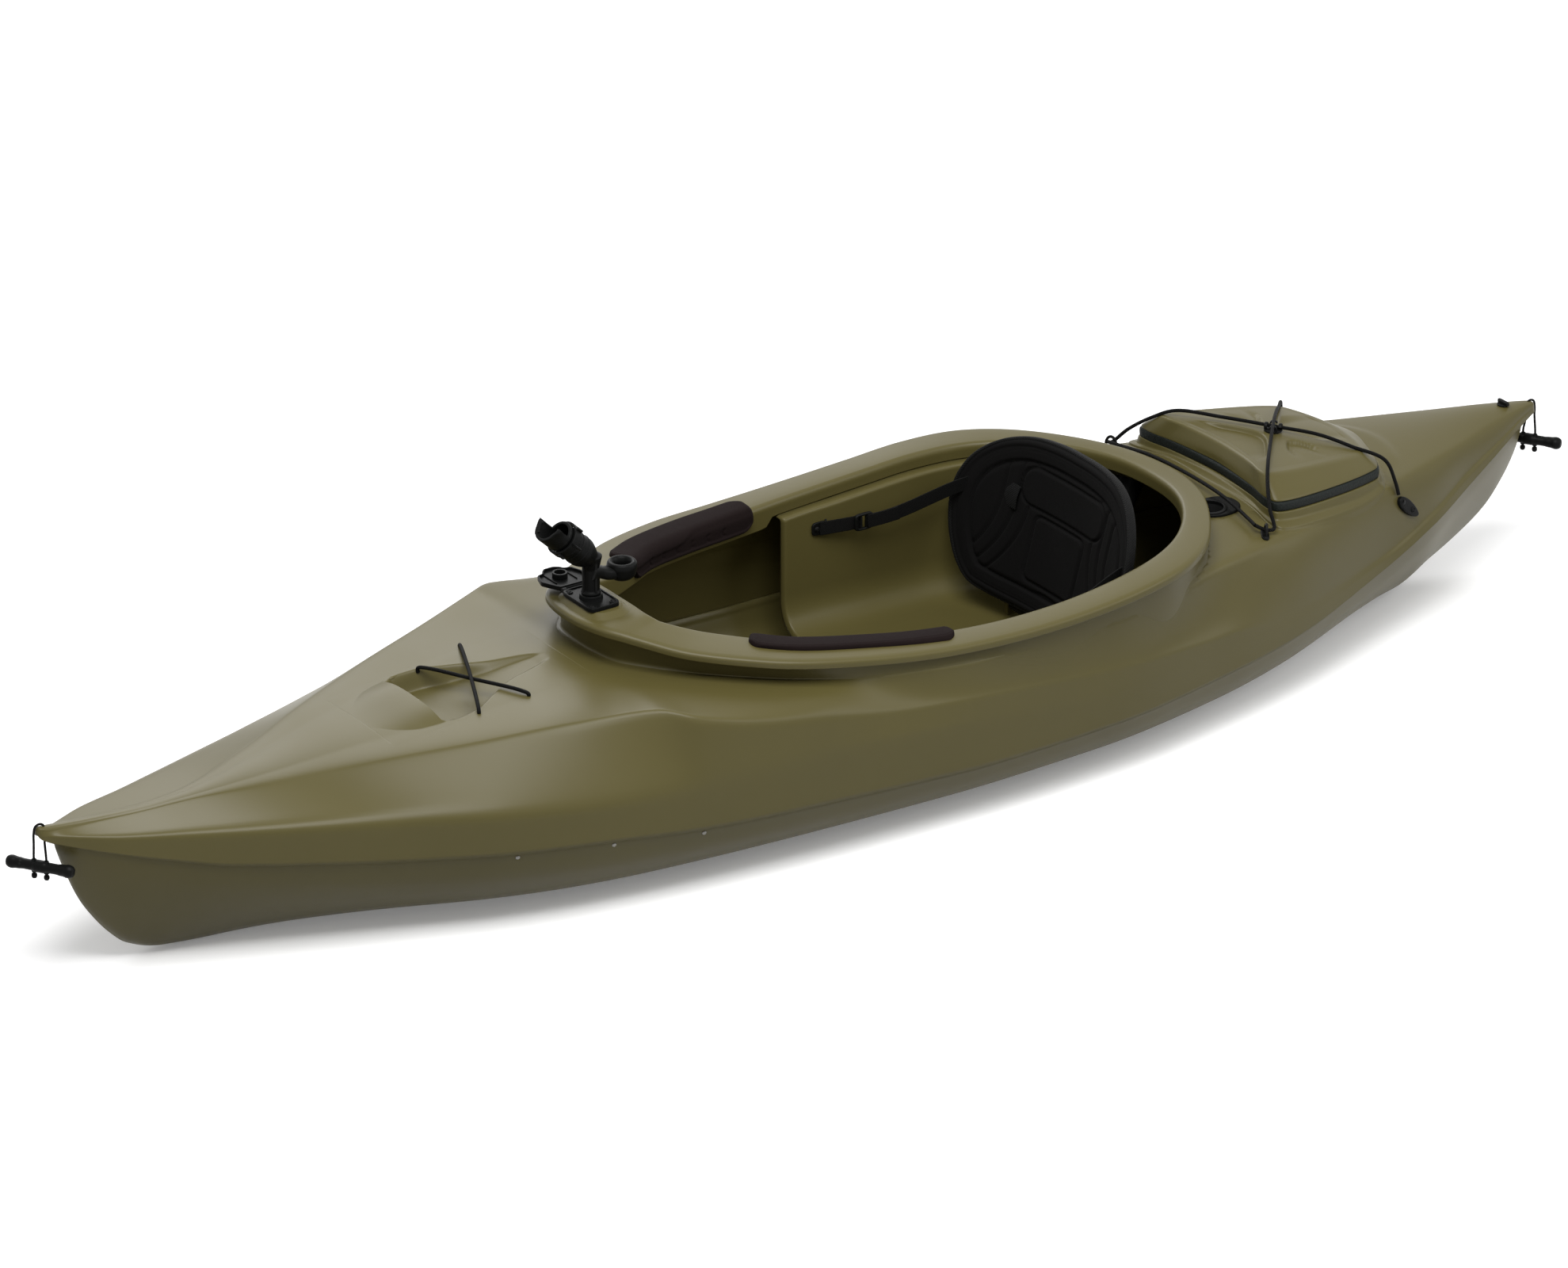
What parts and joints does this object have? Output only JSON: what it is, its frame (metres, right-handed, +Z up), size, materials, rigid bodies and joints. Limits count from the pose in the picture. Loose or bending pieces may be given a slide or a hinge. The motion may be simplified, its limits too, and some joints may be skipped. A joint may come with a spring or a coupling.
{
  "type": "sit-in fishing kayak",
  "caption": "Recreational sit-in kayak with an open cockpit, tilting padded backrest, swivelling rod holder, lift-off stern hatch, deck cords, adjustable foot braces and carrying toggles",
  "frame": {"origin": "under mid-length on the keel line, at the lowest face of the hull", "axes": "+X towards the bow, +Y to port, +Z up"},
  "size_m": [3.1156, 0.7486, 0.5585],
  "materials": {
    "hull_plastic": "satin",
    "black_plastic": "satin",
    "foam": "woven",
    "pad_cloth": "woven",
    "cord": "woven",
    "gasket": "matte",
    "steel": "brushed"
  },
  "bodies": {
    "boat": {"hull_shell": "hull_plastic", "deck_shell": "hull_plastic", "seat_pan": "hull_plastic", "hatch_gasket": "gasket", "rear_bungee": "cord", "fore_bungee_a": "cord", "fore_bungee_b": "cord", "hinge_pin": "steel", "rod_holder_base": "black_plastic", "pad_eye_port": "black_plastic", "cord_cleat_port": "black_plastic", "rod_tube_port": "black_plastic", "strap_anchor_port": "black_plastic", "strap_front_port": "cord", "strap_buckle_port": "black_plastic", "thigh_pad_port": "pad_cloth", "brace_rail_port": "black_plastic", "pad_eye_starboard": "black_plastic", "cord_cleat_starboard": "black_plastic", "rod_tube_starboard": "black_plastic", "strap_anchor_starboard": "black_plastic", "strap_front_starboard": "cord", "strap_buckle_starboard": "black_plastic", "thigh_pad_starboard": "pad_cloth", "brace_rail_starboard": "black_plastic"},
    "holder_swivel": {"rod_holder_body": "black_plastic"},
    "holder_lock": {"holder_lock_ring": "black_plastic"},
    "cover": {"holder_cover": "black_plastic"},
    "backrest": {"backrest_frame": "black_plastic", "backrest_pad": "foam", "strap_rear_port": "cord", "strap_rear_starboard": "cord"},
    "lid": {"hatch_lid": "hull_plastic", "bungee_clip": "black_plastic"},
    "pedal_port": {"foot_pedal_port": "black_plastic"},
    "pedal_starboard": {"foot_pedal_starboard": "black_plastic"},
    "bow_handle": {"bow_toggle": "black_plastic", "bow_toggle_cord": "cord"},
    "stern_handle": {"stern_toggle": "black_plastic", "stern_toggle_cord": "cord"},
    "plug": {"drain_plug": "black_plastic"}
  },
  "joints": [
    {"name": "holder_turn", "type": "hinge", "parent": "boat", "child": "holder_swivel", "pos_m": [0.461, 0, 0.4153], "axis": [0, 0, 1], "range_deg": [-180, 180]},
    {"name": "lock_turn", "type": "hinge", "parent": "holder_swivel", "child": "holder_lock", "pos_m": [0.4652, 0, 0.48062], "axis": [0.7314, 0, 0.682], "range_deg": [-75, 75]},
    {"name": "cover_hinge", "type": "hinge", "parent": "boat", "child": "cover", "pos_m": [0.461, -0.0525, 0.40662], "axis": [-1, 0, 0], "range_deg": [0, 95]},
    {"name": "backrest_tilt", "type": "hinge", "parent": "boat", "child": "backrest", "pos_m": [-0.48, 0, 0.10619], "axis": [0, 1, 0], "range_deg": [-8, 30], "deforming": ["strap_rear_port", "strap_rear_starboard"]},
    {"name": "lid_lift", "type": "slide", "parent": "boat", "child": "lid", "axis": [0, 0, 1], "range_m": [0, 0.15], "deforming": ["rear_bungee"]},
    {"name": "pedal_slide_port", "type": "slide", "parent": "boat", "child": "pedal_port", "axis": [0.9819, -0.1891, 0], "range_m": [-0.13, 0.15]},
    {"name": "pedal_slide_starboard", "type": "slide", "parent": "boat", "child": "pedal_starboard", "axis": [0.9819, 0.1891, 0], "range_m": [-0.13, 0.15]},
    {"name": "bow_handle_swing", "type": "hinge", "parent": "boat", "child": "bow_handle", "pos_m": [1.5175, 0, 0.27], "axis": [0, -1, 0], "range_deg": [-12, 60], "deforming": ["bow_toggle_cord"]},
    {"name": "stern_handle_swing", "type": "hinge", "parent": "boat", "child": "stern_handle", "pos_m": [-1.5175, 0, 0.27], "axis": [0, 1, 0], "range_deg": [-12, 60], "deforming": ["stern_toggle_cord"]},
    {"name": "plug_pull", "type": "slide", "parent": "boat", "child": "plug", "axis": [0, 0, 1], "range_m": [0, 0.03]}
  ]
}
